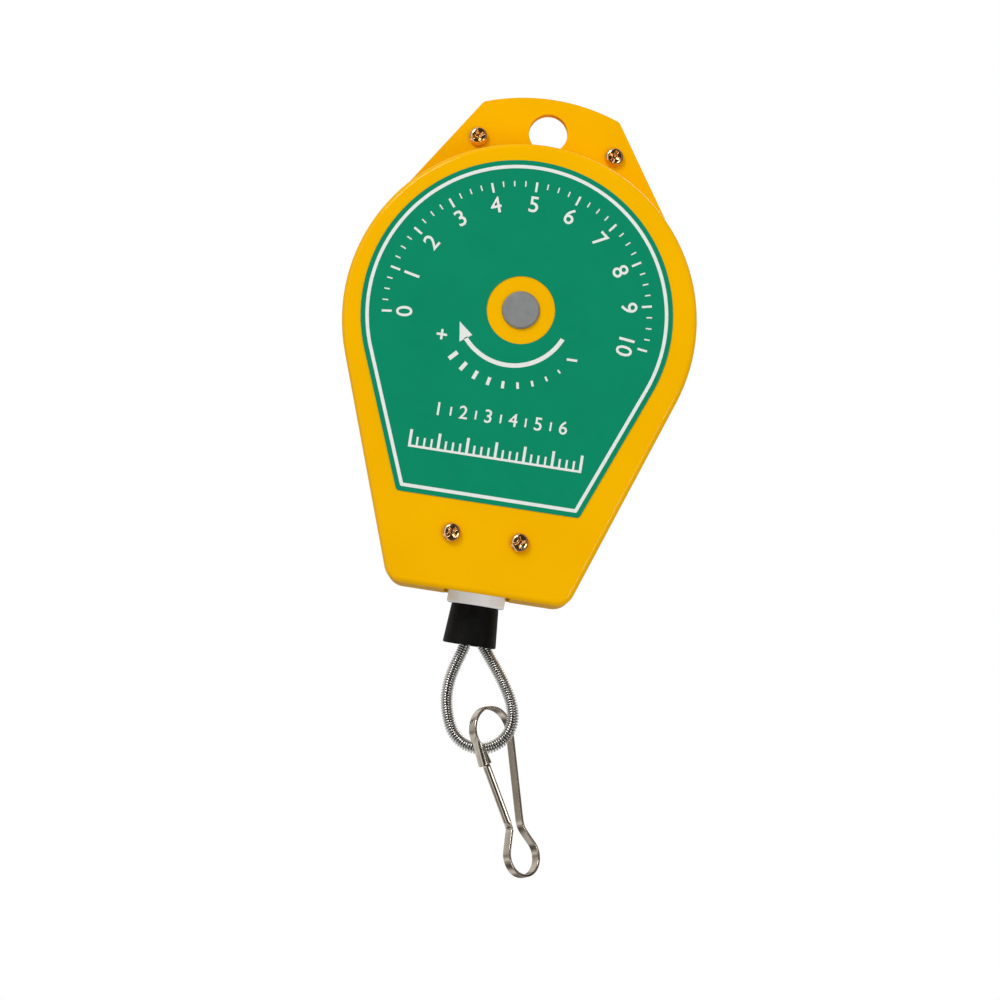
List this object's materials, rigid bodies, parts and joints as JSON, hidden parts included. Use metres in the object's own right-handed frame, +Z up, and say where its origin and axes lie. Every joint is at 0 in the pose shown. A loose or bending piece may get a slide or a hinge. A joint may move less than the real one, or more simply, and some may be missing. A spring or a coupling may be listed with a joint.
{
  "type": "spring tool balancer",
  "caption": "Spring tool balancer: round-topped drum case with a hanging tab, a retracting wire rope with rubber bumper and sheathed loop, and a snap hook for the tool.",
  "frame": {"origin": "centre of the hanging hole, midway through the depth of the case", "axes": "+Z up along the case, +Y from the front face to the rear face, +X to the right seen from the front"},
  "size_m": [0.1216, 0.0518, 0.2693],
  "materials": {
    "yellow_paint": "semi-gloss paint",
    "label_green": "printed film, satin",
    "zinc_yellow": "yellow zinc plated",
    "zinc": "zinc plated",
    "steel": "machined, matt",
    "spring_steel": "blued strip",
    "bronze": "sintered bronze",
    "cast_aluminium": "as cast",
    "nylon": "natural nylon",
    "rubber": "moulded",
    "wire_rope": "stranded, galvanised",
    "sheath_wire": "close coiled wire",
    "nickel": "nickel plated"
  },
  "bodies": {
    "housing": {"front_cover": "yellow_paint", "rear_cover": "yellow_paint", "face_label": "label_green", "tab_spacers": "zinc", "foot_spacers": "zinc", "top_screws": "zinc_yellow", "foot_screws": "zinc_yellow", "case_nuts": "zinc_yellow", "cable_guide": "nylon", "rear_bush": "bronze", "thrust_washer": "nylon", "pawl_pin": "steel", "pawl_spring": "spring_steel", "rope_run": "wire_rope"},
    "shaft": {"shaft": "steel", "ratchet_wheel": "steel", "retaining_rings": "spring_steel"},
    "pawl": {"pawl": "steel"},
    "drum": {"drum": "cast_aluminium", "drum_cover": "cast_aluminium", "drum_screws": "zinc", "drum_bushes": "bronze", "mainspring": "spring_steel", "wound_rope": "wire_rope", "rope_anchor": "zinc"},
    "cable_end": {"rope_tail": "wire_rope", "rubber_bumper": "rubber", "ferrule": "zinc", "rope_loop": "wire_rope", "loop_sheath": "sheath_wire"},
    "hook": {"snap_hook": "nickel"},
    "gate": {"hook_gate": "nickel"}
  },
  "joints": [
    {"name": "drum_spin", "type": "hinge", "parent": "housing", "child": "drum", "pos_m": [0, 0, -0.0653], "axis": [0, -1, 0], "range_deg": [0, 1862], "stiffness_Nm_per_rad": 0.006, "springref_deg": -5586.34, "deforming": ["mainspring", "wound_rope"]},
    {"name": "cable_pull", "type": "slide", "parent": "housing", "child": "cable_end", "axis": [0, 0, -1], "range_m": [0, 1.3], "deforming": ["rope_tail"]},
    {"name": "shaft_turn", "type": "hinge", "parent": "housing", "child": "shaft", "pos_m": [0, 0, -0.0653], "axis": [0, 1, 0], "range_deg": [0, 2160]},
    {"name": "pawl_lift", "type": "hinge", "parent": "housing", "child": "pawl", "pos_m": [-0.0225, 0, -0.0498], "axis": [0, -1, 0], "range_deg": [0, 15], "stiffness_Nm_per_rad": 0.01, "springref_deg": -57.3, "deforming": ["pawl_spring"]},
    {"name": "hook_swing", "type": "hinge", "parent": "cable_end", "child": "hook", "pos_m": [0.0079, 0, -0.2043], "axis": [0, 1, 0], "range_deg": [-15, 22]},
    {"name": "gate_open", "type": "hinge", "parent": "hook", "child": "gate", "pos_m": [0.02355, -0.00164, -0.24144], "axis": [-0.6418, 0.7193, -0.2658], "range_deg": [0, 15], "stiffness_Nm_per_rad": 0.5, "springref_deg": -2.86}
  ],
  "couplings": [
    {"joint": "cable_pull", "follows": "drum_spin", "m_per_rad": 0.04}
  ]
}
